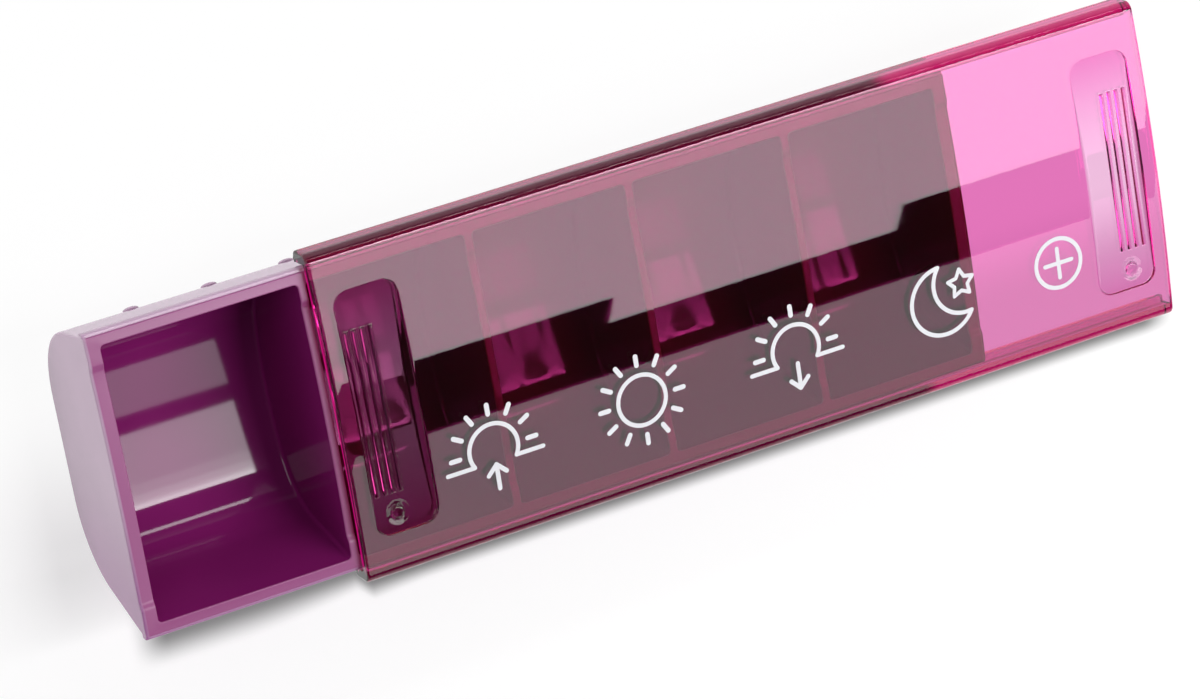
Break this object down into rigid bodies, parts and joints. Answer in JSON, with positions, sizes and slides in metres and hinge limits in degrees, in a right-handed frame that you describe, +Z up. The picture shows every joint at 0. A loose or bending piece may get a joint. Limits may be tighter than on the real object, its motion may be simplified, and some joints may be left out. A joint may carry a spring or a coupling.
{
  "type": "pill organizer",
  "caption": "Daily pill organizer: a shallow tray of compartments in a row under a clear sliding cover with thumb grips and printed time-of-day signs.",
  "frame": {"origin": "middle of the tray's flat underside", "axes": "+X along the tray, towards the end that the cover is slid to; +Y from the steeper front wall to the back wall; +Z up, out of the cover's face"},
  "size_m": [0.1609, 0.0474, 0.022],
  "materials": {
    "tray_plastic": "glossy moulded, purple",
    "cover_plastic": "clear, tinted magenta, polished",
    "sign_ink": "white pad-printed ink"
  },
  "bodies": {
    "tray_body": {"tray": "tray_plastic"},
    "cover_body": {"sliding_cover": "cover_plastic", "sunrise_print": "sign_ink", "sun_print": "sign_ink", "sunset_print": "sign_ink", "moon_print": "sign_ink", "plus_print": "sign_ink"}
  },
  "joints": [
    {"name": "cover_slide", "type": "slide", "parent": "tray_body", "child": "cover_body", "axis": [1, 0, 0], "range_m": [-0.1348, 0.0722]}
  ]
}
